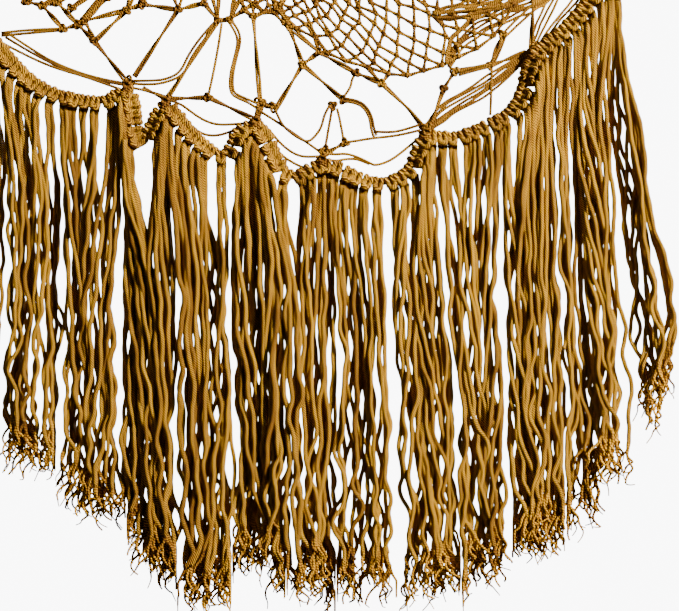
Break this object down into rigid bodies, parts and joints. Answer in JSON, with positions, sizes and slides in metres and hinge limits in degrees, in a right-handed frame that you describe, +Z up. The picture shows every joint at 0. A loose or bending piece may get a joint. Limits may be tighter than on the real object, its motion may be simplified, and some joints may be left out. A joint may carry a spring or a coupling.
{
  "type": "dream catcher",
  "caption": "Knotted cotton dream catcher: an open wrapped hoop with a knotted twine web, a limp lark's-head header and a long hanging fringe, on a cord loop.",
  "frame": {"origin": "where a peg bears on the inside top of the hanging loop", "axes": "+Z up, the front faces -Y, +X to the right"},
  "size_m": [0.5486, 0.0166, 0.8904],
  "materials": {
    "fringe_cotton": "twisted cotton, golden ochre",
    "header_cotton": "twisted cotton, golden ochre",
    "web_twine": "thin twisted twine, golden ochre",
    "loop_cord": "twisted cotton",
    "hoop_wrap": "cotton cord wound close",
    "hoop_steel": "plain wire, hidden by the wrap"
  },
  "bodies": {
    "hanger": {"hanging_loop": "loop_cord", "hanging_turns": "loop_cord", "hanging_knot": "loop_cord"},
    "catcher": {"hoop_core": "hoop_steel", "hoop_wrap": "hoop_wrap", "hoop_lashing_right": "hoop_wrap", "hoop_lashing_left": "hoop_wrap", "header_cord": "header_cotton", "header_ties": "header_cotton", "header_knots_01": "header_cotton", "header_knots_02": "header_cotton", "header_knots_03": "header_cotton", "header_knots_04": "header_cotton", "header_knots_05": "header_cotton", "header_knots_06": "header_cotton", "header_knots_07": "header_cotton", "header_knots_08": "header_cotton", "header_knots_09": "header_cotton", "header_knots_10": "header_cotton", "header_knots_11": "header_cotton", "header_knots_12": "header_cotton", "web_hub": "web_twine", "web_round_1": "web_twine", "web_round_2": "web_twine", "web_round_3": "web_twine", "web_round_4": "web_twine", "web_round_5": "web_twine", "web_round_6": "web_twine", "web_knots_inner": "web_twine", "web_knots_outer": "web_twine", "web_hitches": "web_twine", "web_lower_runs": "web_twine", "web_knots_lower": "web_twine"},
    "fringe_01": {"fringe_01": "fringe_cotton"},
    "fringe_02": {"fringe_02": "fringe_cotton"},
    "fringe_03": {"fringe_03": "fringe_cotton"},
    "fringe_04": {"fringe_04": "fringe_cotton"},
    "fringe_05": {"fringe_05": "fringe_cotton"},
    "fringe_06": {"fringe_06": "fringe_cotton"},
    "fringe_07": {"fringe_07": "fringe_cotton"},
    "fringe_08": {"fringe_08": "fringe_cotton"},
    "fringe_09": {"fringe_09": "fringe_cotton"},
    "fringe_10": {"fringe_10": "fringe_cotton"},
    "fringe_11": {"fringe_11": "fringe_cotton"},
    "fringe_12": {"fringe_12": "fringe_cotton"}
  },
  "joints": [
    {"name": "catcher_swing", "type": "hinge", "parent": "hanger", "child": "catcher", "pos_m": [0, 0, -0.0734], "axis": [1, 0, 0], "range_deg": [-25, 25]},
    {"name": "fringe_01_swing", "type": "hinge", "parent": "catcher", "child": "fringe_01", "pos_m": [-0.2163, 0, -0.4563], "axis": [1, 0, 0], "range_deg": [-30, 30]},
    {"name": "fringe_02_swing", "type": "hinge", "parent": "catcher", "child": "fringe_02", "pos_m": [-0.177, 0, -0.5036], "axis": [1, 0, 0], "range_deg": [-30, 30]},
    {"name": "fringe_03_swing", "type": "hinge", "parent": "catcher", "child": "fringe_03", "pos_m": [-0.1377, 0, -0.5215], "axis": [1, 0, 0], "range_deg": [-30, 30]},
    {"name": "fringe_04_swing", "type": "hinge", "parent": "catcher", "child": "fringe_04", "pos_m": [-0.0983, 0, -0.5214], "axis": [1, 0, 0], "range_deg": [-30, 30]},
    {"name": "fringe_05_swing", "type": "hinge", "parent": "catcher", "child": "fringe_05", "pos_m": [-0.059, 0, -0.5392], "axis": [1, 0, 0], "range_deg": [-30, 30]},
    {"name": "fringe_06_swing", "type": "hinge", "parent": "catcher", "child": "fringe_06", "pos_m": [-0.0197, 0, -0.544], "axis": [1, 0, 0], "range_deg": [-30, 30]},
    {"name": "fringe_07_swing", "type": "hinge", "parent": "catcher", "child": "fringe_07", "pos_m": [0.0197, 0, -0.5701], "axis": [1, 0, 0], "range_deg": [-30, 30]},
    {"name": "fringe_08_swing", "type": "hinge", "parent": "catcher", "child": "fringe_08", "pos_m": [0.059, 0, -0.5749], "axis": [1, 0, 0], "range_deg": [-30, 30]},
    {"name": "fringe_09_swing", "type": "hinge", "parent": "catcher", "child": "fringe_09", "pos_m": [0.0983, 0, -0.5491], "axis": [1, 0, 0], "range_deg": [-30, 30]},
    {"name": "fringe_10_swing", "type": "hinge", "parent": "catcher", "child": "fringe_10", "pos_m": [0.1377, 0, -0.542], "axis": [1, 0, 0], "range_deg": [-30, 30]},
    {"name": "fringe_11_swing", "type": "hinge", "parent": "catcher", "child": "fringe_11", "pos_m": [0.177, 0, -0.4896], "axis": [1, 0, 0], "range_deg": [-30, 30]},
    {"name": "fringe_12_swing", "type": "hinge", "parent": "catcher", "child": "fringe_12", "pos_m": [0.2163, 0, -0.4488], "axis": [1, 0, 0], "range_deg": [-30, 30]}
  ]
}
